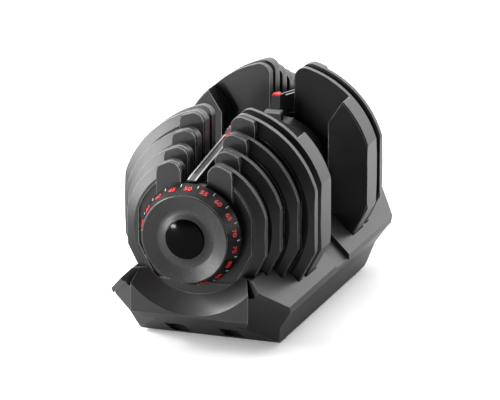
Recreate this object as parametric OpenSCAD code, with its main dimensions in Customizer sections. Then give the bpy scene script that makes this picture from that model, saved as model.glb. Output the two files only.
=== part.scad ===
// Adjustable dumbbell in its base tray: a handle whose end dials pick up plates from the tray.
// Millimetres. X runs along the shaft, Z is up, the origin is under the middle of the tray.

/* [Overall] */
// Half the length of the grip, from the middle to the inner guard
guard_x = 54; // [50:0.5:60]

/* [Plates] */
// Thickness of the four thin plates
plate_t = 12; // [10:0.5:14]
// Gap between neighbouring thin plates
plate_gap = 11.8; // [9:0.1:15]
// Half width of plate 1
plate_1_w = 76; // [70:0.5:80]
// Half width of plate 2
plate_2_w = 84; // [80:0.5:90]
// Half width of plate 3
plate_3_w = 95; // [90:0.5:100]
// Half width of plate 4
plate_4_w = 106; // [100:0.5:110]
// Half width of the thick plate
plate_5_w = 106; // [100:0.5:110]
// Thickness of the thick plate
plate_5_t = 34; // [28:0.5:40]
// Thickness of the thick plate's tall outer flange
plate_5_flange = 10; // [6:0.5:12]
// Clearance between the thick plate's inner opening and the guard
mouth_gap = 6; // [4:0.5:9]
// Clearance between the plates' shaft slot and the drive sleeve
slot_gap = 2; // [1:0.1:4]

/* [Selector] */
// Width of the selector discs' web outside the carrying rims
disc_edge = 2.5; // [1:0.5:4]
// Thickness of a selector disc's web
disc_web = 2.5; // [2:0.1:4]
// Inner radius of the selector discs' carrying rims
carry_r = 34; // [32:0.5:36]
// Radial thickness of the carrying rims
carry_t = 3.5; // [2:0.1:5]
// Width across the flats of the drive sleeve
sleeve_flats = 21; // [20:0.5:23]

/* [Handle] */
// Radius of the steel shaft
shaft_r = 8; // [7:0.5:9]
// Radius of the grip at its ends
grip_end_r = 15; // [13:0.5:17]
// Radius of the grip at its middle
grip_mid_r = 17.5; // [15:0.5:20]
// Radius of the inner guards
guard_r = 55; // [50:0.5:58]
// Depth of the inner guard cups along the shaft
guard_depth = 23; // [20:0.5:24]
// Drop of the bridge bar's top below the shaft axis
bridge_drop = 43; // [38:0.5:46]

/* [Dial] */
// Depth of the dial along the shaft
dial_depth = 29; // [26:0.5:36]
// Radius of the dial's flat front face
face_r = 46.3; // [40:0.1:50]
// How much wider the number ring is than the front face
ring_flare = 8.2; // [4:0.1:12]
// Radius of the sunk dish round the dial's centre cap
dish_r = 31.4; // [28:0.1:36]
// Radius of the dial's centre cap
cap_r = 21.2; // [18:0.1:24]

/* [Tray] */
// How far the deck's edge stands inside the widest plate
deck_back = 7; // [0:0.5:12]
// Drop from the deck's top to its outer edge
deck_fall = 32.5; // [20:0.5:40]
// Thickness of the deck's overhanging lid
lid_t = 7; // [4:0.5:10]
// How far the underside stands back from the deck's edge
side_rake = 22; // [12:0.5:30]
// Height of the plates' seats above the underside
floor_t = 29.7; // [20:0.1:40]
// Height of the middle trough's floor above the underside
trough_floor = 23; // [15:0.5:30]
// Half length of the lowered saddle across the middle
saddle_x = 22; // [15:0.5:40]
// How far the tray's end stands back from the dial's face
end_back = 13.5; // [8:0.5:20]
// How far the underside stands back from the tray's end
end_rake = 65.5; // [40:0.5:80]
// Clearance round the dial at the start of its scoop
scoop_gap = 11.3; // [8:0.1:16]
// How much the scoop opens out towards the tray's end
scoop_flare = 20.7; // [12:0.1:26]
// Clearance round each plate in its slot
well_gap = 0.8; // [0.5:0.1:1.5]
// Height of the rubber feet
foot_h = 3; // [2:0.5:6]

/* [Hidden] */
$fn = 64;
bite = 1; // how far a boss or rib runs into what it stands on
fit = 0.3; // gap between a resting part and what carries it
sleeve_r = sleeve_flats / sqrt(3);
slot_r = sleeve_r + slot_gap;
disc_r = carry_r + carry_t + disc_edge;
ring_r = face_r + ring_flare;

// plates: half width, lobe radius, foot of the side flat, bottom, all from the shaft axis
lobe_add = [2.5, 3.5, 3.5, 5];
thin_w = [plate_1_w, plate_2_w, plate_3_w, plate_4_w];
flat_foot = [-22, -22, -26, -35];
thin_foot = [-68, -77, -87, -97];
thin_r = [for (k = [0:3]) thin_w[k] + lobe_add[k]];
thick_flat = -37;
thick_foot = -98;
thick_r = plate_5_w + 5.5;
side_slope = 0.533;
corner_shift = 0.249; // how far the side corner moves per unit of outward growth
finger_w = 27.5;
finger_round = 12;
bevel_w = 11;
bevel_d = 4.2;
back_bevel = 1.4;
recess_d = 2.2;
recess_rim = 3;
pad_clear = 0.9; // between a finger's pad and what passes in front of it
pad_inset = 0.8;
pad_corner = 5;
plate_5_open = guard_r + mouth_gap;
shoulder_low = [plate_5_open, 56];
shoulder_high = [plate_5_open + 15, 79];

// along the shaft, each piece starts from the one before it
rim_near = 0.6;
rim_far = 5;
disc_clear = 1.5;
plate_5_in = guard_x + 8;
plate_5_out = plate_5_in + plate_5_t;
flange_in = plate_5_out - plate_5_flange;
plate_4_out = plate_5_out + rim_far + disc_web + disc_clear + plate_t;
function thin_out(k) = plate_4_out + (3 - k) * (plate_t + plate_gap);
function thin_in(k) = thin_out(k) - plate_t;

// selection: which plates each of the seventeen settings picks up, lightest setting first
settings = 17;
mid_setting = 8;
step_deg = 20;
picks = [
    [0, 1, 0, 1, 0, 1, 1, 0, 0, 1, 0, 1, 0, 1, 1, 0, 1],
    [0, 0, 1, 1, 1, 1, 1, 1, 0, 0, 1, 1, 1, 1, 1, 1, 1],
    [0, 0, 0, 0, 1, 1, 0, 1, 0, 0, 0, 0, 1, 1, 0, 1, 1],
    [0, 0, 0, 0, 0, 0, 1, 1, 0, 0, 0, 0, 0, 0, 1, 1, 1],
    [0, 0, 0, 0, 0, 0, 0, 0, 1, 1, 1, 1, 1, 1, 1, 1, 1]
];
lug_w = 7;
lug_top = 20;
lug_l = rim_far - rim_near;

// drive sleeve, index gear and lock slider
guard_wall = 3;
sleeve_x0 = guard_x + guard_wall + 0.1;
shaft_bore = shaft_r + 0.05;
gear_x = sleeve_x0 + 0.2;
gear_t = 3.6;
gear_root = 17;
gear_tip = 21;
gear_teeth = 18;
guard_rim_x = guard_x + guard_depth;
slider_x = gear_x + 0.1;
slider_t = 3.4;
slider_end = slider_x + slider_t;
stop_x = slider_end + 0.7;
slider_w = 26.4;
window_r = 22.4;
window_rise = 5;
slider_low = -guard_r - 3;
stem_w = 8;
tooth_tip_z = 22.3;
shelf_top = 32;
spring_x = slider_x + 7.1;
shelf_x1 = slider_x + 12.6;
stop_reach = 22.3; // radius of the gear's stop tab
stop_in = 20; // how far in the guard's stop rib comes
stop_half = 3;
stop_tab_deg = 21.6;
stop_t = 3.4;

// dial, all along X from the middle
ring_gap = 2.6;
ring_x = thin_out(0) + ring_gap;
cone_x = ring_x + 8;
face_x = ring_x + dial_depth;
ring_front_x = face_x - 3;
sleeve_x1 = face_x - 15;
tab_x1 = guard_x + 10;
pointer_x0 = tab_x1 + 0.2;
pointer_x1 = ring_x + 6;
pointer_top = guard_r + 25;
pointer_tip = ring_r + 3.1;
channel_w = 6.4;
cup_r = cap_r + 0.3;
cup_x = face_x - 7;
shaft_end = cup_x - 0.5;
washer_t = 1.5;
nut_x = sleeve_x1 + fit + washer_t;
nut_t = 5.2;
nut_flats = 19;

// tray
base_z = thick_foot - fit - floor_t;
axis_z = foot_h - base_z;
trough_w = guard_r + 3;
trough_z = base_z + trough_floor;
trough_cut = 4;
wall_x = guard_x + 2.3;
post_top = slider_low - 0.2;
deck_z = -disc_r - 4;
deck_in = trough_w + 8.5;
deck_w = max(plate_4_w, plate_5_w) - deck_back;
deck_edge_z = deck_z - deck_fall;
low_w = deck_w - side_rake;
lip = 2;
side_knee = 15;
saddle_drop = 7;
scoop_x = face_x - end_back;
scoop_x0 = thin_out(0) + well_gap;
scoop_r0 = ring_r + scoop_gap;
scoop_r1 = scoop_r0 + scoop_flare;
scoop_top = deck_z + 0.4;
scoop_w = ring_r + 10.3;
scoop_side = 0.47;
end_z = -scoop_r1 - 1.5;
base_x = scoop_x - end_rake;
corner_turn = 31;
corner_lean = 0.68;
corner_low = base_x * cos(corner_turn) + low_w * sin(corner_turn) + 4.8;
foot_x = base_x - 23;
foot_y = low_w - 11;

plate_paint = [0.16, 0.16, 0.17];
steel = [0.62, 0.63, 0.65];
chrome_c = [0.8, 0.81, 0.83];
black = [0.05, 0.05, 0.055];
grey = [0.33, 0.33, 0.34];
disc_c = [0.12, 0.12, 0.13];
tray_c = [0.25, 0.25, 0.255];
rubber_c = [0.03, 0.03, 0.03];
red = [0.75, 0.05, 0.06];
brass_c = [0.72, 0.58, 0.28];

// --- placing helpers: everything is drawn about the shaft axis, for the right-hand end
module right() translate([0, 0, axis_z]) children();
module left() translate([0, 0, axis_z]) mirror([1, 0, 0]) children();
module along_x(x0, length)
    translate([x0, 0, 0]) rotate([90, 0, 90]) linear_extrude(length) children();
module turned() rotate([0, 90, 0]) rotate_extrude($fn = 96) children();
module box_at(low, high) translate(low) cube(high - low);
module both_y() { children(); mirror([0, 1, 0]) children(); }
module both_x() { children(); mirror([1, 0, 0]) children(); }

// --- plates
module plate_outline(r, w, flat_z, foot_z, grow = 0) {
    side = w + grow;
    corner_z = flat_z - grow * corner_shift;
    low_z = foot_z - grow;
    half_foot = side - side_slope * (corner_z - low_z);
    intersection() {
        union() {
            circle(r + grow, $fn = 128);
            translate([-r * 2, -r * 2]) square([r * 4, r * 2]);
        }
        polygon([
            [-side, r + grow + 1], [-side, corner_z], [-half_foot, low_z],
            [half_foot, low_z], [side, corner_z], [side, r + grow + 1]
        ]);
    }
}

module finger_corner(r, inset = 0) {
    cy = slot_r + finger_round;
    cz = sqrt(pow(r - finger_round, 2) - cy * cy);
    reach = r / (r - finger_round) * 1.02;
    difference() {
        polygon([
            [0, cz], [cy, cz], [cy * reach, cz * reach], [cy * 0.4, r + 4], [0, r + 4]
        ]);
        translate([cy, cz]) circle(finger_round + 0.15 - inset, $fn = 48);
    }
}

module slotted_outline(r, w, flat_z, foot_z) {
    difference() {
        plate_outline(r, w, flat_z, foot_z);
        circle(slot_r);
        translate([-slot_r, 0]) square([slot_r * 2, r + 5]);
        finger_corner(r);
        mirror([1, 0]) finger_corner(r);
    }
}

module bevelled(x0, x1, r, corner_r) {
    past = max(corner_r - r, 0) + 1.5;
    length = x1 - x0;
    translate([x0, 0, 0]) turned() polygon([
        [0, 0], [r - back_bevel, 0], [r + past, back_bevel + past],
        [r + past, length - bevel_d - past * bevel_d / bevel_w], [r - bevel_w, length], [0, length]
    ]);
}

// outer field of a plate, sunk between the rim and the two finger strips
module face_recess(x1, r, w, flat_z, foot_z) {
    inner = bevel_w + recess_rim;
    along_x(x1 - recess_d, recess_d + 1) difference() {
        plate_outline(r, w, flat_z, foot_z, -inner);
        circle(slot_r + 9);
        translate([-slot_r - finger_w, 0]) square([(slot_r + finger_w) * 2, r]);
    }
}

// raised pad on each finger, short of the disc or dial ring that passes in front of it
module finger_pad(x1, rise, r, w, flat_z, foot_z) {
    far_y = slot_r + finger_w;
    top_z = sqrt(pow(r, 2) - pow(far_y, 2));
    along_x(x1 - plate_t + 3, plate_t - 3 + rise) for (side = [0, 1]) mirror([side, 0]) difference() {
        intersection() {
            plate_outline(r, w, flat_z, foot_z, -pad_inset);
            polygon([
                [slot_r + pad_inset, 0], [far_y, 0], [far_y, top_z - pad_corner],
                [far_y - pad_corner, r], [slot_r + pad_inset, r]
            ]);
        }
        finger_corner(r, pad_inset);
    }
}

module lug(x1) {
    box_at([x1 - lug_l, -lug_w / 2, fit + 0.2 - carry_r], [x1 + bite, lug_w / 2, -lug_top]);
}

module thin_plate(k) {
    room = k == 0 ? ring_gap : plate_gap - rim_far - disc_web;
    difference() {
        intersection() {
            along_x(thin_in(k), plate_t)
                slotted_outline(thin_r[k], thin_w[k], flat_foot[k], thin_foot[k]);
            bevelled(thin_in(k), thin_out(k), thin_r[k], norm([thin_w[k], flat_foot[k]]));
        }
        face_recess(thin_out(k), thin_r[k], thin_w[k], flat_foot[k], thin_foot[k]);
    }
    finger_pad(thin_out(k), room - pad_clear, thin_r[k], thin_w[k], flat_foot[k], thin_foot[k]);
    lug(thin_in(k));
}

module thick_opening() {
    circle(plate_5_open, $fn = 96);
    polygon([
        [-shoulder_high[0] - 30, shoulder_high[1] + 46], [-shoulder_high[0], shoulder_high[1]],
        [-shoulder_low[0], shoulder_low[1]], [-plate_5_open, 0], [plate_5_open, 0],
        [shoulder_low[0], shoulder_low[1]], [shoulder_high[0], shoulder_high[1]],
        [shoulder_high[0] + 30, shoulder_high[1] + 46]
    ]);
}

module thick_plate() {
    difference() {
        intersection() {
            along_x(flange_in, plate_5_flange)
                slotted_outline(thick_r, plate_5_w, thick_flat, thick_foot);
            bevelled(plate_5_in, plate_5_out, thick_r, norm([plate_5_w, thick_flat]));
        }
        face_recess(plate_5_out, thick_r, plate_5_w, thick_flat, thick_foot);
    }
    intersection() {
        along_x(plate_5_in, flange_in - plate_5_in + bite) difference() {
            plate_outline(thick_r, plate_5_w, thick_flat, thick_foot);
            thick_opening();
        }
        bevelled(plate_5_in, plate_5_out, thick_r, norm([plate_5_w, thick_flat]));
    }
    lug(flange_in);
}

// --- selector discs
module hexagon(flats) rotate(30) circle(flats / sqrt(3), $fn = 6);

function run(k, i) = i < settings && picks[k][i] == 1 ? 1 + run(k, i + 1) : 0;
function starts_run(k, i) = picks[k][i] == 1 && (i == 0 || picks[k][i - 1] == 0);

module selector_disc(k, face) {
    web_out = face - rim_far;
    difference() {
        union() {
            along_x(web_out - disc_web, disc_web) circle(disc_r, $fn = 96);
            along_x(web_out - bite, rim_far - rim_near + bite) circle(sleeve_r + 3);
            for (i = [0:settings - 1]) if (starts_run(k, i))
                rotate([-(i - mid_setting + (run(k, i) - 1) / 2) * step_deg, 0, 0])
                    carry_rim(web_out, run(k, i) * step_deg);
        }
        along_x(web_out - disc_web - 1, rim_far + disc_web + 1) hexagon(sleeve_flats);
    }
}

// a profile swept part of a turn about the shaft, centred on straight down
module sector(deg)
    rotate([0, 90, 0]) rotate(-deg / 2) rotate_extrude(angle = deg, $fn = 96) children();

module carry_rim(x0, deg) {
    translate([x0 - bite, 0, 0]) sector(deg) translate([carry_r, 0])
        square([carry_t, rim_far - rim_near + bite]);
}

// --- handle parts
module drive_sleeve() {
    difference() {
        along_x(sleeve_x0, sleeve_x1 - sleeve_x0) hexagon(sleeve_flats);
        along_x(sleeve_x0 - 1, sleeve_x1 - sleeve_x0 + 2) circle(shaft_bore);
    }
}

module index_gear() {
    half_root = 1.5;
    half_tip = 1;
    difference() {
        union() {
            along_x(gear_x, gear_t) {
                circle(gear_root);
                for (i = [0:gear_teeth - 1]) rotate((i + 0.5) * step_deg + 90) polygon([
                    [gear_root - 1, -half_root], [gear_tip, -half_tip],
                    [gear_tip, half_tip], [gear_root - 1, half_root]
                ]);
            }
            // stop tab, opposite the guard's stop rib
            translate([gear_x + gear_t - bite, 0, 0]) rotate([180, 0, 0]) sector(stop_tab_deg) polygon([
                [gear_root - 6, 0], [gear_root - 2, 0], [gear_root - 2, bite + fit], [stop_reach, bite + fit],
                [stop_reach, bite + stop_t], [gear_root - 6, bite + stop_t]
            ]);
        }
        along_x(gear_x - 1, gear_t + stop_t + 2) hexagon(sleeve_flats);
    }
}

module lock_slider() {
    tooth_base = window_r + window_rise + 1;
    along_x(slider_x, slider_t) {
        difference() {
            translate([-slider_w, -slider_w]) square([slider_w * 2, slider_w + 31]);
            circle(window_r);
            translate([0, window_rise]) circle(window_r);
            translate([-window_r, 0]) square([window_r * 2, window_rise]);
        }
        polygon([[-1.8, tooth_base], [-0.8, tooth_tip_z], [0.8, tooth_tip_z], [1.8, tooth_base]]);
        translate([-stem_w / 2, slider_low]) square([stem_w, -slider_low - slider_w + 1]);
    }
    box_at([slider_x, -7, shelf_top - 3], [shelf_x1, 7, shelf_top]);
    translate([spring_x, 0, shelf_top - bite]) cylinder(h = 5 + bite, r = 2.6);
}

module lock_spring() {
    wire = 0.8;
    coil = 3.8;
    turns = 6;
    rise = (guard_r - guard_wall - shelf_top - wire * 2 - 0.6) / (turns - 1);
    translate([spring_x, 0, shelf_top + 0.1 + wire]) for (i = [0:turns - 1]) translate([0, 0, i * rise]) {
        rotate_extrude($fn = 48) translate([coil, 0]) circle(wire, $fn = 20);
        if (i < turns - 1) rotate(i * 140) translate([coil, 0, 0]) cylinder(h = rise, r = wire * 0.8);
    }
}

module guard() {
    rim = guard_r - guard_wall;
    difference() {
        union() {
            translate([guard_x, 0, 0]) turned() polygon([
                [0, 0], [guard_r - 2.5, 0], [guard_r, 2.5], [guard_r, guard_rim_x - guard_x],
                [rim, guard_rim_x - guard_x], [rim, guard_wall], [0, guard_wall]
            ]);
            both_y() box_at([guard_x + 1, slider_w + 0.4, -18], [slider_end, slider_w + 4, 28]);
            // stop rib at the bottom for the index gear's tab
            box_at([stop_x, -stop_half, 1 - guard_r], [stop_x + stop_t, stop_half, -stop_in]);
            // ribbed thumb tab at the top
            box_at([guard_x + 1, -9, rim], [tab_x1, 9, guard_r + 9]);
            for (i = [0:2]) box_at([guard_x - 0.4 + i * 3.6, -9, guard_r + 9 - bite],
                [guard_x + 1.4 + i * 3.6, 9, guard_r + 10.2]);
        }
        along_x(guard_x - 1, guard_wall + 2) circle(shaft_bore);
        box_at([slider_x - 0.4, -stem_w / 2 - 0.4, -guard_r - 1],
            [slider_end + 0.4, stem_w / 2 + 0.4, -rim + 3]);
        // arc groove on the side facing the grip
        translate([guard_x - 1, 0, 0]) turned()
            translate([42, 0]) square([3, 2]);
    }
}

// side view of the pointer beam, from the guard out over the dial
module pointer() {
    half_w = 5;
    dip_x = thin_in(1) - 2.6;
    ramp_x = guard_rim_x + 7;
    ramp_z = pointer_top - 4;
    nose_x = pointer_x1 - 11;
    nose_z = pointer_tip + 2.4;
    difference() {
        translate([0, half_w, 0]) rotate([90, 0, 0]) linear_extrude(half_w * 2) polygon([
            [pointer_x0, guard_r - 1], [guard_rim_x, guard_r - 1], [guard_rim_x + 3, guard_r + 1.5],
            [dip_x, guard_r + 2.5], [pointer_x1, pointer_tip - 1.4], [pointer_x1, pointer_tip],
            [nose_x, nose_z], [ramp_x, ramp_z], [guard_rim_x + 1, pointer_top], [pointer_x0, pointer_top]
        ]);
        turned() translate([0, guard_x]) square([guard_r + 0.05, guard_depth]);
        // sunk channel between the two light edges
        translate([0, channel_w / 2, 0]) rotate([90, 0, 0]) linear_extrude(channel_w) polygon([
            [ramp_x + 5, ramp_z - 2.4], [nose_x - 4, nose_z - 0.9], [nose_x - 4, nose_z + 6],
            [ramp_x + 5, ramp_z + 6]
        ]);
    }
}

module pointer_mark() {
    long = guard_rim_x + 1 - pointer_x0;
    translate([pointer_x0, 0, pointer_top]) linear_extrude(1.4) polygon([
        [long * 0.1, -4.2], [long * 0.55, -4.2], [long - 0.5, 0], [long * 0.55, 4.2], [long * 0.1, 4.2]
    ]);
}

module grip_profile() {
    half = guard_x;
    polygon(concat(
        [[shaft_bore, -half], [grip_end_r + 1.5, -half], [grip_end_r + 1.5, 3 - half]],
        [for (i = [0:16]) let (t = i / 8 - 1)
            [grip_end_r + (grip_mid_r - grip_end_r) * (1 - t * t), t * (half - 5)]],
        [[grip_end_r + 1.5, half - 3], [grip_end_r + 1.5, half], [shaft_bore, half]]
    ));
}

// --- dial parts
module dial_ring_part() {
    wall = 3;
    difference() {
        turned() polygon([
            [0, ring_x], [ring_r - 1, ring_x], [ring_r, ring_x + 1], [ring_r, cone_x],
            [face_r + 1.2, ring_front_x], [face_r - 1.9, ring_front_x],
            [face_r - 1.9, ring_front_x - 6], [ring_r - wall - 1, cone_x - 1],
            [ring_r - wall - 1, ring_x + wall], [19, ring_x + wall], [19, sleeve_x1 - 1],
            [0, sleeve_x1 - 1]
        ]);
        along_x(ring_x - 1, 20) hexagon(sleeve_flats);
    }
}

module dial_face_part() {
    seat = face_r - 1.9;
    turned() polygon([
        [12.4, cup_x - 2], [seat, cup_x - 2], [seat, ring_front_x], [face_r + 0.9, ring_front_x],
        [face_r + 0.9, face_x - 1.2], [face_r - 0.3, face_x], [dish_r, face_x], [dish_r - 4, face_x - 2.6],
        [cup_r + 1.6, face_x - 3.6], [cup_r, face_x - 3.6], [cup_r, cup_x], [12.4, cup_x]
    ]);
}

module dial_cap_part() {
    dome = 110;
    rise = 8.2;
    translate([cup_x, 0, 0]) turned() intersection() {
        square([cap_r, 9]);
        translate([0, rise - dome]) circle(dome, $fn = 256);
    }
}

// --- tray
// the overhanging lid, seen along the shaft
module lid_section() {
    low = deck_edge_z - lid_t;
    polygon([
        [-deck_w, low], [-deck_w, deck_edge_z], [-deck_in, deck_z], [deck_in, deck_z],
        [deck_w, deck_edge_z], [deck_w, low], [deck_in, deck_z - lid_t], [-deck_in, deck_z - lid_t]
    ]);
}

module body_section() {
    w = deck_w - lip;
    knee = [deck_w - side_knee, base_z + 24];
    top = deck_edge_z - 2;
    polygon([
        [-low_w, base_z], [-knee[0], knee[1]], [-w, top - lid_t], [-w, top], [-deck_in, deck_z - 2],
        [deck_in, deck_z - 2], [w, top], [w, top - lid_t], [knee[0], knee[1]], [low_w, base_z]
    ]);
}

// keeps what lies inside the four leaning corner faces
module corner_faces(inset) {
    low = corner_low - inset;
    high = low - base_z * corner_lean;
    intersection() {
        children();
        rotate([0, 0, -corner_turn]) corner_strip(low, high);
        rotate([0, 0, corner_turn]) corner_strip(low, high);
    }
}

module corner_strip(low, high) {
    translate([0, high, 0]) rotate([90, 0, 0]) linear_extrude(high * 2)
        polygon([[-low, base_z], [-high, 0], [high, 0], [low, base_z]]);
}

module end_section() {
    polygon([
        [-base_x, base_z], [-scoop_x, end_z], [-scoop_x, scoop_top], [scoop_x, scoop_top],
        [scoop_x, end_z], [base_x, base_z]
    ]);
}

// block at the tray's end that the dial's scoop is cut from
module scoop_block() {
    start = thin_out(0) - 5;
    w = scoop_w - (scoop_x - start) * scoop_side;
    translate([0, 0, end_z - 12]) linear_extrude(scoop_top - end_z + 12)
        polygon([[start, -w], [scoop_x, -scoop_w], [scoop_x, scoop_w], [start, w]]);
}

// gap between the scoop's wall and the front corner of the lid
module scoop_relief() {
    start = scoop_x - 14;
    low = -scoop_r1 * 0.72;
    translate([0, 0, low]) linear_extrude(-low) polygon([
        [start, scoop_w - 14 * scoop_side], [scoop_x + 1, scoop_w + scoop_side], [scoop_x + 1, scoop_w + 13.2]
    ]);
}

module tray_well(x0, x1, r, w, flat_z, foot_z) {
    along_x(x0 - well_gap, x1 - x0 + well_gap * 2) difference() {
        plate_outline(r, w, flat_z, foot_z - fit, well_gap);
        translate([-r, 0]) square([r * 2, r + 5]);
    }
}

module tray_body() {
    intersection() {
        translate([0, scoop_x, 0]) rotate([90, 0, 0]) linear_extrude(scoop_x * 2) end_section();
        union() {
            corner_faces(0) along_x(-scoop_x, scoop_x * 2) lid_section();
            corner_faces(lip) along_x(-scoop_x, scoop_x * 2) body_section();
            both_x() scoop_block();
        }
    }
}

module tray_part() {
    notch_in = 19;
    notch_out = 41;
    difference() {
        tray_body();
        both_x() {
            for (k = [0:3])
                tray_well(thin_in(k), thin_out(k), thin_r[k], thin_w[k], flat_foot[k], thin_foot[k]);
            tray_well(plate_5_in, plate_5_out, thick_r, plate_5_w, thick_flat, thick_foot);
            // dial scoop
            translate([scoop_x0 - bite, 0, 0]) rotate([0, 90, 0])
                cylinder(h = scoop_x - scoop_x0 + bite, r1 = scoop_r0, r2 = scoop_r1, $fn = 128);
            both_y() scoop_relief();
            // notches in the lower end face
            both_y() box_at([base_x - 2, notch_in, base_z + 3], [scoop_x + 1, notch_out, base_z + 19]);
            both_y() foot_place() cylinder(h = 1.5, r = 9.2);
        }
        along_x(-wall_x, wall_x * 2) polygon([
            [-trough_w, 0], [-trough_w, trough_z + trough_cut], [trough_cut - trough_w, trough_z],
            [trough_w - trough_cut, trough_z], [trough_w, trough_z + trough_cut], [trough_w, 0]
        ]);
        along_x(-guard_rim_x - 3, guard_rim_x * 2 + 6) circle(guard_r + fit, $fn = 96);
        both_x() box_at([wall_x - 1, -7, post_top], [slider_end + 1, 7, 5 - guard_r]);
        // saddle across the middle, a step below the deck
        both_y() along_x(-saddle_x, saddle_x * 2) polygon([
            [trough_w - 1, 0], [trough_w - 1, deck_z - saddle_drop], [deck_in, deck_z - saddle_drop],
            [deck_w + 10, deck_edge_z - 10 - saddle_drop], [deck_w + 10, 0]
        ]);
        box_at([4 - guard_x, 9 - low_w, base_z - 1], [guard_x - 4, low_w - 9, trough_z - 4]);
    }
}

module foot_place() translate([foot_x, foot_y, base_z]) children();

// --- sub-parts
module tray() color(tray_c) right() tray_part();
module tray_feet() color(rubber_c) right() both_x() both_y() foot_place()
    translate([0, 0, -foot_h]) cylinder(h = foot_h + 1.5, r = 9);
module shaft() color(steel) right() difference() {
    along_x(-shaft_end, shaft_end * 2) circle(shaft_r);
    both_x() translate([shaft_end - 2, 0, 0])
        turned() polygon([[shaft_r - 1, 2.1], [shaft_r + 1, 2.1], [shaft_r + 1, 0]]);
}
module grip() color(chrome_c) right() turned() grip_profile();
module bridge() color(black) right() {
    along_x(-guard_x, guard_x * 2) difference() {
        union() {
            translate([-9, -bridge_drop - 6]) square([18, 6]);
            for (s = [-1, 1]) translate([s * 9, -bridge_drop - 3]) circle(3, $fn = 32);
        }
        for (s = [-1, 1]) translate([s * 4.5, -bridge_drop - 6]) square([2, 2.4], center = true);
    }
}
module shaft_washers() color(steel) right() both_x() along_x(sleeve_x1 + fit, washer_t) difference() {
    circle(13);
    circle(shaft_bore);
}
module shaft_nuts() color(steel) right() both_x() difference() {
    union() {
        along_x(nut_x, nut_t) hexagon(nut_flats);
        along_x(nut_x, 1.2) circle(nut_flats / 2 + 2.2);
    }
    along_x(nut_x - 1, nut_t + 2) circle(shaft_bore);
}

module guard_right() color(black) right() guard();
module pointer_right() color(grey) right() pointer();
module pointer_mark_right() color(red) right() pointer_mark();
module lock_slider_right() color(brass_c) right() lock_slider();
module lock_spring_right() color(steel) right() lock_spring();
module drive_sleeve_right() color(steel) right() drive_sleeve();
module index_gear_right() color(disc_c) right() index_gear();
module disc_1_right() color(disc_c) right() selector_disc(0, thin_in(0));
module disc_2_right() color(disc_c) right() selector_disc(1, thin_in(1));
module disc_3_right() color(disc_c) right() selector_disc(2, thin_in(2));
module disc_4_right() color(disc_c) right() selector_disc(3, thin_in(3));
module disc_5_right() color(disc_c) right() selector_disc(4, flange_in);
module plate_1_right() color(plate_paint) right() thin_plate(0);
module plate_2_right() color(plate_paint) right() thin_plate(1);
module plate_3_right() color(plate_paint) right() thin_plate(2);
module plate_4_right() color(plate_paint) right() thin_plate(3);
module plate_5_right() color(plate_paint) right() thick_plate();
module dial_ring_right() color(black) right() dial_ring_part();
module dial_face_right() color(grey) right() dial_face_part();
module dial_cap_right() color(black) right() dial_cap_part();

module guard_left() color(black) left() guard();
module pointer_left() color(grey) left() pointer();
module pointer_mark_left() color(red) left() pointer_mark();
module lock_slider_left() color(brass_c) left() lock_slider();
module lock_spring_left() color(steel) left() lock_spring();
module drive_sleeve_left() color(steel) left() drive_sleeve();
module index_gear_left() color(disc_c) left() index_gear();
module disc_1_left() color(disc_c) left() selector_disc(0, thin_in(0));
module disc_2_left() color(disc_c) left() selector_disc(1, thin_in(1));
module disc_3_left() color(disc_c) left() selector_disc(2, thin_in(2));
module disc_4_left() color(disc_c) left() selector_disc(3, thin_in(3));
module disc_5_left() color(disc_c) left() selector_disc(4, flange_in);
module plate_1_left() color(plate_paint) left() thin_plate(0);
module plate_2_left() color(plate_paint) left() thin_plate(1);
module plate_3_left() color(plate_paint) left() thin_plate(2);
module plate_4_left() color(plate_paint) left() thin_plate(3);
module plate_5_left() color(plate_paint) left() thick_plate();
module dial_ring_left() color(black) left() dial_ring_part();
module dial_face_left() color(grey) left() dial_face_part();
module dial_cap_left() color(black) left() dial_cap_part();

tray();
tray_feet();
shaft();
grip();
bridge();
shaft_washers();
shaft_nuts();
guard_right();
pointer_right();
pointer_mark_right();
lock_slider_right();
lock_spring_right();
drive_sleeve_right();
index_gear_right();
disc_1_right();
disc_2_right();
disc_3_right();
disc_4_right();
disc_5_right();
plate_1_right();
plate_2_right();
plate_3_right();
plate_4_right();
plate_5_right();
dial_ring_right();
dial_face_right();
dial_cap_right();
guard_left();
pointer_left();
pointer_mark_left();
lock_slider_left();
lock_spring_left();
drive_sleeve_left();
index_gear_left();
disc_1_left();
disc_2_left();
disc_3_left();
disc_4_left();
disc_5_left();
plate_1_left();
plate_2_left();
plate_3_left();
plate_4_left();
plate_5_left();
dial_ring_left();
dial_face_left();
dial_cap_left();
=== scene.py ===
# Adjustable dumbbell docked in its tray: finishes, dial pieces, pointer trim, camera and studio
import itertools
import math
import bmesh
import bpy
from mathutils import Matrix, Vector


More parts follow.
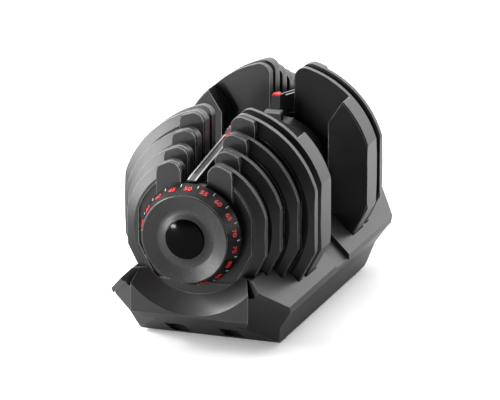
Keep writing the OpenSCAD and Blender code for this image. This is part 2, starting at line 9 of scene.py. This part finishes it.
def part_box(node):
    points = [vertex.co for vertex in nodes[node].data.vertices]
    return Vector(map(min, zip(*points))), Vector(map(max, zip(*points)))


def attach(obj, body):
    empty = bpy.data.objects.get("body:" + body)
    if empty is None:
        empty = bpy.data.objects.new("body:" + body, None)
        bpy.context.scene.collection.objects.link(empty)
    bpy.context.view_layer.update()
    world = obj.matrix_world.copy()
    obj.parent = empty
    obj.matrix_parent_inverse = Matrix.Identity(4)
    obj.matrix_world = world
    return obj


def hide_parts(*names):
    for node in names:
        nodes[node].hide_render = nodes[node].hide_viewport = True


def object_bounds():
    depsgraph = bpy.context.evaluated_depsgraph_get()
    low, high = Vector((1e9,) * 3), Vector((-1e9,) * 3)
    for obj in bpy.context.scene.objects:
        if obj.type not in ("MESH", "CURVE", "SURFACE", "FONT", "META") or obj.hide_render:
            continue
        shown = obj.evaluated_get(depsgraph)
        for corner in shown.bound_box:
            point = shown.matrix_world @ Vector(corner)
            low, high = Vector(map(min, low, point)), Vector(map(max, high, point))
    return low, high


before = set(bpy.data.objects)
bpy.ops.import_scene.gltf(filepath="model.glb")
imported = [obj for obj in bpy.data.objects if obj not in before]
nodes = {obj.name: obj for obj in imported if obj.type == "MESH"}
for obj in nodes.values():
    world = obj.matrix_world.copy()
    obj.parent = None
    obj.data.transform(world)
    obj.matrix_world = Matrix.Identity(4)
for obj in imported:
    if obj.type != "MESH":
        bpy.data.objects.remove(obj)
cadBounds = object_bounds()
ends = {"right": 1, "left": -1}  # end of the shaft and its side along X
print("frame loaded:", len(nodes), "parts")

scene = bpy.context.scene
axisHeight = sum(corner[2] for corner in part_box("shaft")) / 2


def newGroup(name, inputs, outputs):
    group = bpy.data.node_groups.new(name, "ShaderNodeTree")
    for label, default in inputs:
        item = group.interface.new_socket(label, in_out="INPUT", socket_type="NodeSocketFloat")
        item.default_value = default
    for label in outputs:
        group.interface.new_socket(label, in_out="OUTPUT", socket_type="NodeSocketFloat")
    return group, group.nodes.new("NodeGroupInput"), group.nodes.new("NodeGroupOutput")


def feed(tree, socket, value):
    # a socket takes a fixed value or a link
    if isinstance(value, bpy.types.NodeSocket):
        tree.links.new(value, socket)
    else:
        socket.default_value = value


def mathNode(tree, operation, a, b=None, clamp=False):
    n = tree.nodes.new("ShaderNodeMath")
    n.operation = operation
    n.use_clamp = clamp
    feed(tree, n.inputs[0], a)
    if b is not None:
        feed(tree, n.inputs[1], b)
    return n.outputs[0]


def mixColour(tree, factor, a, b):
    n = tree.nodes.new("ShaderNodeMix")
    n.data_type = "RGBA"
    for slot, value in ((0, factor), (6, a), (7, b)):
        feed(tree, n.inputs[slot], value)
    return n.outputs[2]


def mapRange(tree, value, fromLow, fromHigh, toLow, toHigh):
    n = tree.nodes.new("ShaderNodeMapRange")
    for slot, v in enumerate((value, fromLow, fromHigh, toLow, toHigh)):
        feed(tree, n.inputs[slot], v)
    return n.outputs[0]


def noise(tree, vector, scale, detail=3.0, rough=0.5):
    n = tree.nodes.new("ShaderNodeTexNoise")
    tree.links.new(vector, n.inputs["Vector"])
    n.inputs["Scale"].default_value = scale
    n.inputs["Detail"].default_value = detail
    n.inputs["Roughness"].default_value = rough
    return n.outputs["Fac"]


def objectCoords(tree):
    return tree.nodes.new("ShaderNodeTexCoord").outputs["Object"]


def splitAxes(tree, vector):
    n = tree.nodes.new("ShaderNodeSeparateXYZ")
    tree.links.new(vector, n.inputs[0])
    return n.outputs


def dotProduct(tree, vector, other):
    n = tree.nodes.new("ShaderNodeVectorMath")
    n.operation = "DOT_PRODUCT"
    tree.links.new(vector, n.inputs[0])
    feed(tree, n.inputs[1], other)
    return n.outputs["Value"]


def addBump(tree, height, strength, distance):
    n = tree.nodes.new("ShaderNodeBump")
    n.inputs["Strength"].default_value = strength
    n.inputs["Distance"].default_value = distance
    tree.links.new(height, n.inputs["Height"])
    tree.links.new(n.outputs[0], tree.nodes["Principled BSDF"].inputs["Normal"])


def within(tree, value, low, high, soft=0.0001):
    # 1 where the value lies between low and high
    above = mapRange(tree, value, low - soft, low + soft, 0.0, 1.0)
    below = mapRange(tree, value, high - soft, high + soft, 1.0, 0.0)
    return mathNode(tree, "MULTIPLY", above, below)


def shaftPlace(tree):
    # distance out along the shaft, to the side, and up from its axis
    x, y, z = splitAxes(tree, objectCoords(tree))
    along = mathNode(tree, "ABSOLUTE", x)
    side = mathNode(tree, "ABSOLUTE", y)
    return along, side, mathNode(tree, "SUBTRACT", z, axisHeight)


def paintOver(material, mask, paint):
    # lays another colour over a finish where the mask is 1
    tree = material.node_tree
    slot = tree.nodes["Principled BSDF"].inputs["Base Color"]
    tree.links.new(mixColour(tree, mask, slot.links[0].from_socket, paint), slot)


edgeWearAndHighlight = {
    "samples": 6,
    "turnFrom": 0.02,
    "turnTo": 0.22,
    "patchScale": 60.0,
    "patchFrom": 0.35,
    "patchTo": 0.65,
    "leastWear": 0.25,
}


def buildEdgeWearAndHighlight():
    # rubbed edges, and on the plates a painted highlight along the rims: a mask where the surface turns
    # sharply, broken up by noise
    p = edgeWearAndHighlight
    tree, groupIn, groupOut = newGroup("edgeWearAndHighlight", [("Reach", 0.0012), ("Amount", 0.5)], ["Mask"])
    bevel = tree.nodes.new("ShaderNodeBevel")
    bevel.samples = p["samples"]
    tree.links.new(groupIn.outputs["Reach"], bevel.inputs["Radius"])
    geometry = tree.nodes.new("ShaderNodeNewGeometry")
    turn = dotProduct(tree, bevel.outputs[0], geometry.outputs["True Normal"])
    turn = mapRange(tree, mathNode(tree, "SUBTRACT", 1.0, turn), p["turnFrom"], p["turnTo"], 0.0, 1.0)
    patch = noise(tree, objectCoords(tree), p["patchScale"], detail=4.0, rough=0.6)
    patch = mapRange(tree, patch, p["patchFrom"], p["patchTo"], p["leastWear"], 1.0)
    mask = mathNode(tree, "MULTIPLY", turn, patch)
    mask = mathNode(tree, "MULTIPLY", mask, groupIn.outputs["Amount"], clamp=True)
    tree.links.new(mask, groupOut.inputs["Mask"])
    return tree


mouldGrain = {
    "fineScale": 1800.0,
    "fineShare": 0.5,
    "broadScale": 22.0,
    "broadFrom": 0.3,
    "broadTo": 0.7,
}


def buildMouldGrain():
    # fine leather-like texture of moulded plastic and powder coat
    p = mouldGrain
    sockets = [("Scale", 900.0), ("Mottle", 0.5)]
    tree, groupIn, groupOut = newGroup("mouldGrain", sockets, ["Height", "Mottle"])
    coords = objectCoords(tree)
    cells = tree.nodes.new("ShaderNodeTexVoronoi")
    cells.feature = "SMOOTH_F1"
    tree.links.new(coords, cells.inputs["Vector"])
    tree.links.new(groupIn.outputs["Scale"], cells.inputs["Scale"])
    fine = noise(tree, coords, p["fineScale"], detail=2.0, rough=0.6)
    fine = mathNode(tree, "MULTIPLY", fine, p["fineShare"])
    tree.links.new(mathNode(tree, "ADD", cells.outputs["Distance"], fine), groupOut.inputs["Height"])
    broad = noise(tree, coords, p["broadScale"], detail=5.0, rough=0.6)
    broad = mapRange(tree, broad, p["broadFrom"], p["broadTo"], -1.0, 1.0)
    mottle = mathNode(tree, "MULTIPLY", broad, groupIn.outputs["Mottle"])
    tree.links.new(mottle, groupOut.inputs["Mottle"])
    return tree


settledDust = {
    "slopeFrom": 0.35,
    "cloudScale": 35.0,
    "cloudFrom": 0.35,
    "cloudTo": 0.7,
    "leastDust": 0.2,
}


def buildDust():
    # pale dust that settles on what faces up
    p = settledDust
    tree, groupIn, groupOut = newGroup("settledDust", [("Amount", 0.2)], ["Mask"])
    geometry = tree.nodes.new("ShaderNodeNewGeometry")
    facing = splitAxes(tree, geometry.outputs["Normal"])[2]
    up = mapRange(tree, facing, p["slopeFrom"], 1.0, 0.0, 1.0)
    cloud = noise(tree, objectCoords(tree), p["cloudScale"], detail=6.0, rough=0.65)
    cloud = mapRange(tree, cloud, p["cloudFrom"], p["cloudTo"], p["leastDust"], 1.0)
    mask = mathNode(tree, "MULTIPLY", up, cloud)
    mask = mathNode(tree, "MULTIPLY", mask, groupIn.outputs["Amount"], clamp=True)
    tree.links.new(mask, groupOut.inputs["Mask"])
    return tree


groups = {"wearAndHighlight": buildEdgeWearAndHighlight(), "grain": buildMouldGrain(), "dust": buildDust()}


def addGroup(tree, name, **values):
    n = tree.nodes.new("ShaderNodeGroup")
    n.node_tree = groups[name]
    for label, value in values.items():
        n.inputs[label].default_value = value
    return n


def newFinish(name):
    material = bpy.data.materials.new(name)
    material.use_nodes = True
    return material, material.node_tree, material.node_tree.nodes["Principled BSDF"]


def grey(level):
    return (level, level, level, 1.0)


def scaled(colour, factor):
    return tuple(min(1.0, c * factor) for c in colour[:3]) + (1.0,)


coatedLook = {
    "darker": 0.72,
    "lighter": 1.28,
    "dustColour": grey(0.32),
    "bumpStrength": 0.6,
}


def coated(name, base, wearAndHighlightColour, rough, reach=0.0012, wearAndHighlight=0.5, grainScale=900.0, grainHeight=0.00012,
           mottle=0.3, dust=0.0, roughSpread=0.08, specular=0.5):
    # a moulded or coated surface: base colour with mottle, rubbed edges (on the plates also a painted
    # highlight along every edge), dust, grain bump
    p = coatedLook
    material, tree, shader = newFinish(name)
    grain = addGroup(tree, "grain", Scale=grainScale, Mottle=mottle)
    edges = addGroup(tree, "wearAndHighlight", Reach=reach, Amount=wearAndHighlight)
    tone = mapRange(tree, grain.outputs["Mottle"], -1.0, 1.0, 0.0, 1.0)
    skin = mixColour(tree, tone, scaled(base, p["darker"]), scaled(base, p["lighter"]))
    # pale colour along sharp edges: rubbed wear, and on the plates a painted highlight standing in for
    # light caught by the rims
    skin = mixColour(tree, edges.outputs["Mask"], skin, wearAndHighlightColour)
    if dust > 0:
        settled = addGroup(tree, "dust", Amount=dust)
        skin = mixColour(tree, settled.outputs["Mask"], skin, p["dustColour"])
    tree.links.new(skin, shader.inputs["Base Color"])
    roughness = mapRange(tree, grain.outputs["Mottle"], -1.0, 1.0, rough - roughSpread, rough + roughSpread)
    tree.links.new(roughness, shader.inputs["Roughness"])
    addBump(tree, grain.outputs["Height"], p["bumpStrength"], grainHeight)
    shader.inputs["Specular IOR Level"].default_value = specular
    return material


turnedLook = {
    "stretch": (1.0, 0.02, 0.02),
    "lineScale": 2600.0,
    "smearScale": 45.0,
    "smearFrom": 0.3,
    "smearTo": 0.7,
    "smearShare": 0.5,
    "edgeReach": 0.0008,
    "edgeWearAndHighlight": 0.4,
    "darker": 0.8,
    "wornColour": (0.85, 0.85, 0.86, 1.0),
    "bumpStrength": 0.4,
    "bumpHeight": 0.00002,
}


def turned(name, base, rough, spread=0.1):
    # bright metal with fine lathe lines round the shaft
    p = turnedLook
    material, tree, shader = newFinish(name)
    coords = objectCoords(tree)
    mapping = tree.nodes.new("ShaderNodeMapping")
    mapping.inputs["Scale"].default_value = p["stretch"]
    tree.links.new(coords, mapping.inputs["Vector"])
    lathe = noise(tree, mapping.outputs["Vector"], p["lineScale"], detail=2.0)
    smear = noise(tree, coords, p["smearScale"], detail=5.0, rough=0.6)
    edges = addGroup(tree, "wearAndHighlight", Reach=p["edgeReach"], Amount=p["edgeWearAndHighlight"])
    tone = mapRange(tree, smear, p["smearFrom"], p["smearTo"], 0.0, 1.0)
    skin = mixColour(tree, tone, scaled(base, p["darker"]), base)
    skin = mixColour(tree, edges.outputs["Mask"], skin, p["wornColour"])
    tree.links.new(skin, shader.inputs["Base Color"])
    lines = mathNode(tree, "MULTIPLY", lathe, 1 - p["smearShare"])
    both = mathNode(tree, "ADD", lines, mathNode(tree, "MULTIPLY", smear, p["smearShare"]))
    roughness = mapRange(tree, both, p["smearFrom"], p["smearTo"], rough, rough + spread)
    tree.links.new(roughness, shader.inputs["Roughness"])
    addBump(tree, lathe, p["bumpStrength"], p["bumpHeight"])
    shader.inputs["Metallic"].default_value = 1.0
    return material


finishes = {
    # the plates' pale edge colour at full amount paints a bright highlight line along every rim, on top of
    # the rubbed wear
    "plateCoat": coated("plateCoat", grey(0.013), grey(0.5), 0.33, reach=0.0015, wearAndHighlight=1.0,
                        grainScale=1100.0, mottle=0.35, dust=0.06),
    "trayShell": coated("trayShell", grey(0.024), grey(0.24), 0.34, reach=0.0014, wearAndHighlight=0.65,
                        grainScale=800.0, dust=0.08),
    "dialFace": coated("dialFace", grey(0.03), grey(0.3), 0.27, reach=0.0008,
                       grainScale=1500.0, grainHeight=0.00005, mottle=0.2),
    "dialRing": coated("dialRing", grey(0.005), grey(0.1), 0.26, reach=0.0008, wearAndHighlight=0.35,
                       grainScale=1300.0, grainHeight=0.00006, specular=0.1),
    "capGloss": coated("capGloss", grey(0.001), grey(0.02), 0.08, reach=0.0005, wearAndHighlight=0.0,
                       grainScale=400.0, grainHeight=0.000005, roughSpread=0.02, specular=0.09),
    "mouldedBlack": coated("mouldedBlack", grey(0.018), grey(0.12), 0.45, reach=0.0009, wearAndHighlight=0.45,
                           grainScale=1200.0, dust=0.08),
    "pointerBlack": coated("pointerBlack", grey(0.018), grey(0.12), 0.4, reach=0.0006, wearAndHighlight=0.4,
                           grainScale=1300.0),
    "guardBlack": coated("guardBlack", grey(0.018), grey(0.14), 0.4, reach=0.0009,
                         grainScale=1200.0, dust=0.06),
    "discNylon": coated("discNylon", grey(0.05), grey(0.16), 0.5, reach=0.0008, wearAndHighlight=0.4,
                        grainScale=1300.0),
    "sliderPlate": turned("sliderPlate", (0.5, 0.42, 0.25, 1.0), 0.3),
    "brightSteel": turned("brightSteel", (0.56, 0.57, 0.58, 1.0), 0.24),
    "gripChrome": turned("gripChrome", (0.72, 0.73, 0.75, 1.0), 0.12, spread=0.12),
    "footRubber": coated("footRubber", grey(0.02), grey(0.06), 0.75, grainScale=700.0,
                         mottle=0.4, dust=0.1),
    "markRed": coated("markRed", (0.62, 0.012, 0.016, 1.0), (0.75, 0.2, 0.2, 1.0), 0.35, reach=0.0004,
                      wearAndHighlight=0.3, grainScale=1500.0, grainHeight=0.00003, mottle=0.2),
    "printRed": coated("printRed", (0.86, 0.012, 0.02, 1.0), (0.75, 0.2, 0.2, 1.0), 0.42, reach=0.0002,
                       wearAndHighlight=0.2, grainScale=1500.0, grainHeight=0.00002, mottle=0.25),
    "printWhite": coated("printWhite", grey(0.6), grey(0.75), 0.45, reach=0.0002, wearAndHighlight=0.2,
                         grainScale=1500.0, grainHeight=0.00002, mottle=0.2),
}

trim = {
    "upFrom": 0.5,
    "upTo": 0.6,
    "railInner": 0.0032,
    "railOuter": 0.006,
    "railFrom": 0.0845,
    "railTo": 0.3,
    "railColour": grey(0.42),
    "arrowFrom": 0.0795,
    "arrowTo": 0.098,
    "arrowColour": (0.62, 0.012, 0.016, 1.0),
    "ribFrom": 0.0622,
    "ribTo": 0.1,
    "ribColour": grey(0.2),
}


def trimPointer(material):
    # pale edges on the pointer's rails and a red arrow at the start of its channel
    tree = material.node_tree
    along, side = shaftPlace(tree)[:2]
    geometry = tree.nodes.new("ShaderNodeNewGeometry")
    facing = splitAxes(tree, geometry.outputs["True Normal"])[2]
    facingUp = mapRange(tree, facing, trim["upFrom"], trim["upTo"], 0.0, 1.0)
    rails = mathNode(tree, "MULTIPLY", within(tree, side, trim["railInner"], trim["railOuter"]), facingUp)
    rails = mathNode(tree, "MULTIPLY", rails, within(tree, along, trim["railFrom"], trim["railTo"]))
    paintOver(material, rails, trim["railColour"])
    arrow = mathNode(tree, "MULTIPLY", within(tree, side, -1.0, trim["railInner"]), facingUp)
    arrow = mathNode(tree, "MULTIPLY", arrow, within(tree, along, trim["arrowFrom"], trim["arrowTo"]))
    paintOver(material, arrow, trim["arrowColour"])


def trimGuard(material):
    # the ribs of the thumb tab rubbed paler
    tree = material.node_tree
    up = shaftPlace(tree)[2]
    paintOver(material, within(tree, up, trim["ribFrom"], trim["ribTo"]), trim["ribColour"])


trimPointer(finishes["pointerBlack"])
trimGuard(finishes["guardBlack"])
print("finishes made:", len(finishes))

finishOfNode = {
    "tray": "trayShell", "tray_feet": "footRubber", "shaft": "brightSteel", "grip": "gripChrome",
    "bridge": "mouldedBlack", "shaft_washers": "brightSteel", "shaft_nuts": "brightSteel",
    "guard": "guardBlack", "pointer": "pointerBlack", "pointer_mark": "markRed",
    "lock_slider": "sliderPlate", "lock_spring": "brightSteel", "drive_sleeve": "brightSteel",
    "index_gear": "discNylon", "disc": "discNylon", "plate": "plateCoat",
    "dial_ring": "dialRing", "dial_face": "dialFace", "dial_cap": "capGloss",
}


def finishFor(node):
    # the longest matching start of the node's name decides
    stems = sorted(finishOfNode, key=len, reverse=True)
    return finishes[finishOfNode[next(s for s in stems if node.startswith(s))]]


def setFinish(obj, material):
    if not obj.material_slots:
        obj.data.materials.append(material)
    for slot in obj.material_slots:
        slot.material = material


for name, obj in nodes.items():
    setFinish(obj, finishFor(name))
print("finishes on the parts")


def addMesh(name, bm, material, body):
    mesh = bpy.data.meshes.new(name)
    bmesh.ops.recalc_face_normals(bm, faces=bm.faces)
    bm.to_mesh(mesh)
    bm.free()
    obj = bpy.data.objects.new(name, mesh)
    scene.collection.objects.link(obj)
    obj.data.materials.append(material)
    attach(obj, body)
    return obj


def joinInto(target, part, matrix):
    bmesh.ops.transform(part, matrix=matrix, verts=part.verts)
    mesh = bpy.data.meshes.new("temp")
    part.to_mesh(mesh)
    part.free()
    target.from_mesh(mesh)
    bpy.data.meshes.remove(mesh)


dialPrint = {
    "settings": 17,
    "middle": 8,
    "stepDeg": 20.0,
    "lowest": 10,
    "addEach": 5,
    "digitSize": 0.0086,
    "bolder": 0.014,  # share of the digit size
    "curveSteps": 3,
    "printDepth": 0.0006,
    "sunk": 0.0003,
    "proud": 0.00012,
    "digitAlong": 0.5,  # share of the ring's cone
    "tickAlong": 0.2,
    "tickSize": (0.0009, 0.0042, 0.0005),
    "coneBackX": 0.199,
    "coneBackR": 0.0545,
    "coneFrontX": 0.217,
    "coneFrontR": 0.0475,
    "mergeGap": 1e-6,
}


def digits(text):
    # a number as a closed mesh, centred on its own middle, facing +Z
    p = dialPrint
    curve = bpy.data.curves.new("digits", "FONT")
    curve.body = text
    curve.size = p["digitSize"]
    curve.align_x = "CENTER"
    curve.align_y = "CENTER"
    curve.extrude = p["printDepth"] / 2
    curve.offset = p["digitSize"] * p["bolder"]
    curve.resolution_u = p["curveSteps"]
    holder = bpy.data.objects.new("digits", curve)
    scene.collection.objects.link(holder)
    mesh = bpy.data.meshes.new_from_object(holder)
    bm = bmesh.new()
    bm.from_mesh(mesh)
    bmesh.ops.remove_doubles(bm, verts=bm.verts, dist=p["mergeGap"])
    bpy.data.objects.remove(holder)
    bpy.data.curves.remove(curve)
    bpy.data.meshes.remove(mesh)
    return bm


def onCone(side, steps, along, lift):
    # a place on the ring's cone, so many settings past the pointer
    # X runs across, Y away from the dial's face and Z off the ring
    p = dialPrint
    angle = math.radians(90 - steps * p["stepDeg"] * side)
    x = p["coneBackX"] + (p["coneFrontX"] - p["coneBackX"]) * along
    r = p["coneBackR"] + (p["coneFrontR"] - p["coneBackR"]) * along
    outward = Vector((p["coneBackR"] - p["coneFrontR"], 0, p["coneFrontX"] - p["coneBackX"])).normalized()
    radial = Vector((0, math.cos(angle), math.sin(angle)))
    normal = Vector((side, 0, 0)) * outward.x + radial * outward.z
    up = (radial * outward.x - Vector((side, 0, 0)) * outward.z).normalized()
    placed = Matrix((up.cross(normal).normalized(), up, normal)).transposed().to_4x4()
    placed.translation = Vector((side * x, 0, axisHeight)) + radial * r + normal * lift
    return placed


def dialNumbers(end, side):
    # the middle setting stands at the top under the pointer, with a tick on each side of every number
    p = dialPrint
    numbers, ticks = bmesh.new(), bmesh.new()
    numberLift = p["proud"] + p["printDepth"] / 2 - p["sunk"]
    for i in range(p["settings"]):
        placed = onCone(side, i - p["middle"], p["digitAlong"], numberLift)
        joinInto(numbers, digits(str(p["lowest"] + i * p["addEach"])), placed)
    for i in range(p["settings"] + 1):
        tick = bmesh.new()
        bmesh.ops.create_cube(tick, size=1.0)
        bmesh.ops.scale(tick, vec=p["tickSize"], verts=tick.verts)
        joinInto(ticks, tick, onCone(side, i - p["middle"] - 0.5, p["tickAlong"], p["proud"]))
    addMesh("dialNumbers_" + end, numbers, finishes["printRed"], "dial_" + end)
    addMesh("dialTicks_" + end, ticks, finishes["printWhite"], "dial_" + end)


for end, side in ends.items():
    dialNumbers(end, side)
print("dial numbers and ticks made")


dishedFace = {
    # radius, depth behind the front and corner softening, round the section
    "section": [
        (0.0124, 0.0090, 0.0002), (0.0444, 0.0090, 0.0002), (0.0444, 0.0030, 0.0002),
        (0.0472, 0.0030, 0.0002), (0.0472, 0.0012, 0.0003), (0.0460, 0.0000, 0.0004),
        (0.0312, 0.0040, 0.0010), (0.0258, 0.0036, 0.0012), (0.0222, 0.0023, 0.0006),
        (0.0215, 0.0023, 0.0002), (0.0215, 0.0070, 0.0002), (0.0124, 0.0070, 0.0002),
    ],
}


def faceSection():
    # each corner becomes two points, one along each of its sides
    section = dishedFace["section"]
    points = []
    for i, (r, depth, cut) in enumerate(section):
        here = Vector((r, depth))
        for other in (section[i - 1], section[(i + 1) % len(section)]):
            points.append(here + (Vector(other[:2]) - here).normalized() * cut)
    return points


domedCap = {
    "radius": 0.0212,
    "seatDepth": 0.0070,
    "rise": 0.0082,
    "domeRadius": 0.110,
    "rimSoften": 0.0004,
    "rings": 24,
}


def capSection():
    # from the axis along the seat, up the side and back to the axis over the dome
    p = domedCap
    points = [Vector((0, p["seatDepth"])), Vector((p["radius"], p["seatDepth"]))]
    for i in range(p["rings"] + 1):
        r = (p["radius"] - p["rimSoften"]) * (1 - i / p["rings"])
        height = p["rise"] - p["domeRadius"] + math.sqrt(p["domeRadius"] ** 2 - r * r)
        if i == 0:
            points.append(Vector((p["radius"], p["seatDepth"] - height + p["rimSoften"])))
        points.append(Vector((r, p["seatDepth"] - height)))
    return points


turnedPieces = {
    "segments": 144,
    "mergeGap": 1e-7,
    "normalWeight": 100,
    "sortAlong": (0.31, 0.83, 0.47),  # a direction that matches nothing in the shape
    "pieces": [
        # name, section, whether it closes on itself, finish, slot, node that it stands for
        ("dishedFace", faceSection(), True, "dialFace", "dial_grey", "dial_face"),
        ("domedCap", capSection(), False, "capGloss", "cap_gloss", "dial_cap"),
    ],
}


def placeKey(co):
    # summed in full precision, where the vector's own dot product would leave ties
    return sum(c * w for c, w in zip(co, turnedPieces["sortAlong"]))


def sortByPlace(bm):
    # spin hands back its elements in an order that changes from run to run
    bm.verts.sort(key=lambda vert: placeKey(vert.co))
    bm.edges.sort(key=lambda edge: placeKey(edge.verts[0].co + edge.verts[1].co))
    bm.faces.sort(key=lambda face: placeKey(face.calc_center_median()))


def turnedPiece(end, side, name, section, closed, finish, slot, node):
    # a section of radius and depth behind the dial's front, turned on the shaft's axis
    p = turnedPieces
    frontX = max(abs(corner[0]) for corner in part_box("dial_face_" + end))
    bm = bmesh.new()
    line = [bm.verts.new((side * (frontX - point.y), 0, axisHeight + point.x)) for point in section]
    edges = [bm.edges.new((line[i - 1], line[i])) for i in range(0 if closed else 1, len(line))]
    bmesh.ops.spin(bm, geom=line + edges, cent=(0, 0, axisHeight), axis=(1, 0, 0), angle=math.tau,
                   steps=p["segments"], use_merge=True)
    bmesh.ops.remove_doubles(bm, verts=bm.verts, dist=p["mergeGap"])
    sortByPlace(bm)
    for face in bm.faces:
        face.smooth = True
    obj = addMesh(name + "_" + end, bm, finishes[finish], "dial_" + end)
    obj.modifiers.new("flatNormals", "WEIGHTED_NORMAL").weight = p["normalWeight"]
    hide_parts(node + "_" + end)


for end, side in ends.items():
    for piece in turnedPieces["pieces"]:
        turnedPiece(end, side, *piece)
print("dished dial faces and domed caps made")


cameraSet = {
    "azimuth": 109.6,
    "elevation": 16.7,
    "distance": 4.8,
    "fill": 0.86,
    "wide": 500,
    "tall": 400,
    "sensor": 36.0,
    "clipStart": 0.1,
    "clipEnd": 60.0,
    "centringRounds": 6,
}


def direction(azimuth, elevation):
    a, e = math.radians(azimuth), math.radians(elevation)
    return Vector((math.sin(a) * math.cos(e), -math.cos(a) * math.cos(e), math.sin(e)))


def makeCamera():
    p = cameraSet
    low, high = cadBounds
    corners = [Vector(corner) for corner in itertools.product(*zip(low, high))]
    back = direction(p["azimuth"], p["elevation"])
    target = (Vector(low) + Vector(high)) / 2
    data = bpy.data.cameras.new("camera")
    cam = bpy.data.objects.new("camera", data)
    scene.collection.objects.link(cam)
    scene.camera = cam
    cam.rotation_mode = "QUATERNION"
    cam.rotation_quaternion = (-back).to_track_quat("-Z", "Y")
    right = cam.rotation_quaternion @ Vector((1, 0, 0))
    up = cam.rotation_quaternion @ Vector((0, 1, 0))
    for turn in range(p["centringRounds"]):
        eye = target + back * p["distance"]
        spans = []
        for axis in (right, up):
            seen = [(k - eye).dot(axis) / -(k - eye).dot(back) for k in corners]
            spans.append((min(seen), max(seen)))
        target += right * sum(spans[0]) / 2 * p["distance"] + up * sum(spans[1]) / 2 * p["distance"]
    cam.location = target + back * p["distance"]
    wide = spans[0][1] - spans[0][0]
    tall = spans[1][1] - spans[1][0]
    need = max(wide, tall * p["wide"] / p["tall"]) / p["fill"]
    data.sensor_width = p["sensor"]
    data.lens = p["sensor"] / need
    data.clip_start, data.clip_end = p["clipStart"], p["clipEnd"]


makeCamera()
print("camera set")


studio = {
    "floorSize": 12.0,
    "floorRough": 0.9,
    "floorColour": grey(0.9),
    "floorGlow": 0.25,
    "floorFront": 0.35,
    "floorBack": 0.9,
    "floorFrom": -0.05,
    "floorTo": 0.3,
    "skyFront": 0.06,
    "skyBack": 2.0,
    "skyFrom": -0.3,
    "skyTo": 0.5,
    "lamps": [
        # name, azimuth, elevation, distance, width, height, power
        ("leftBox", 36, 14, 2.2, 1.2, 1.6, 80.0),
        ("upperLeft", 27, 31, 2.0, 0.5, 0.4, 16.0),
        ("rightStrip", 204, 12, 2.3, 0.25, 0.9, 9.0),
        ("topSoft", 300, 62, 2.6, 2.0, 2.0, 22.0),
        ("backFill", 236, 48, 2.4, 1.2, 1.0, 20.0),
        ("glint", 63, -3, 1.2, 0.1, 0.06, 1.3),
    ],
}


def alongView(tree, vector):
    # how far a place or a direction lies behind the object, seen from the camera
    return dotProduct(tree, vector, -direction(cameraSet["azimuth"], 0))


def floorPaint():
    # pale to the camera; what reflects in the object is dark in front of it and pale behind it
    p = studio
    material, tree, shader = newFinish("floorPaint")
    shader.inputs["Roughness"].default_value = p["floorRough"]
    rays = tree.nodes.new("ShaderNodeLightPath")
    behind = alongView(tree, objectCoords(tree))
    level = mapRange(tree, behind, p["floorFrom"], p["floorTo"], p["floorFront"], p["floorBack"])
    unseen = tree.nodes.new("ShaderNodeCombineColor")
    for slot in range(3):
        tree.links.new(level, unseen.inputs[slot])
    skin = mixColour(tree, rays.outputs["Is Camera Ray"], unseen.outputs[0], p["floorColour"])
    tree.links.new(skin, shader.inputs["Base Color"])
    shader.inputs["Emission Color"].default_value = p["floorColour"]
    glow = mathNode(tree, "MULTIPLY", rays.outputs["Is Camera Ray"], p["floorGlow"])
    tree.links.new(glow, shader.inputs["Emission Strength"])
    return material


def makeFloor():
    bm = bmesh.new()
    bmesh.ops.create_grid(bm, x_segments=1, y_segments=1, size=studio["floorSize"])
    mesh = bpy.data.meshes.new("floor")
    bm.to_mesh(mesh)
    bm.free()
    floor = bpy.data.objects.new("floor", mesh)
    scene.collection.objects.link(floor)
    floor.data.materials.append(floorPaint())


def makeWorld():
    # white to the camera; what lights the object is dark in front of it and bright behind it
    p = studio
    world = bpy.data.worlds.new("studio")
    scene.world = world
    world.use_nodes = True
    tree = world.node_tree
    lit = tree.nodes["Background"]
    coord = tree.nodes.new("ShaderNodeTexCoord")
    behind = alongView(tree, coord.outputs["Generated"])
    strength = mapRange(tree, behind, p["skyFrom"], p["skyTo"], p["skyFront"], p["skyBack"])
    tree.links.new(strength, lit.inputs["Strength"])
    lit.inputs["Color"].default_value = grey(1.0)
    seen = tree.nodes.new("ShaderNodeBackground")
    seen.inputs["Color"].default_value = grey(1.0)
    rays = tree.nodes.new("ShaderNodeLightPath")
    mix = tree.nodes.new("ShaderNodeMixShader")
    tree.links.new(rays.outputs["Is Camera Ray"], mix.inputs[0])
    tree.links.new(lit.outputs[0], mix.inputs[1])
    tree.links.new(seen.outputs[0], mix.inputs[2])
    tree.links.new(mix.outputs[0], tree.nodes["World Output"].inputs["Surface"])


def makeLamps():
    for name, azimuth, elevation, distance, width, height, power in studio["lamps"]:
        back = direction(azimuth, elevation)
        data = bpy.data.lights.new(name, "AREA")
        data.shape = "RECTANGLE"
        data.size, data.size_y = width, height
        data.energy = power
        lamp = bpy.data.objects.new(name, data)
        scene.collection.objects.link(lamp)
        lamp.location = Vector((0, 0, axisHeight)) + back * distance
        lamp.rotation_mode = "QUATERNION"
        lamp.rotation_quaternion = (-back).to_track_quat("-Z", "Y")


makeFloor()
makeWorld()
makeLamps()
scene.view_settings.view_transform = "Standard"
print("studio lit")
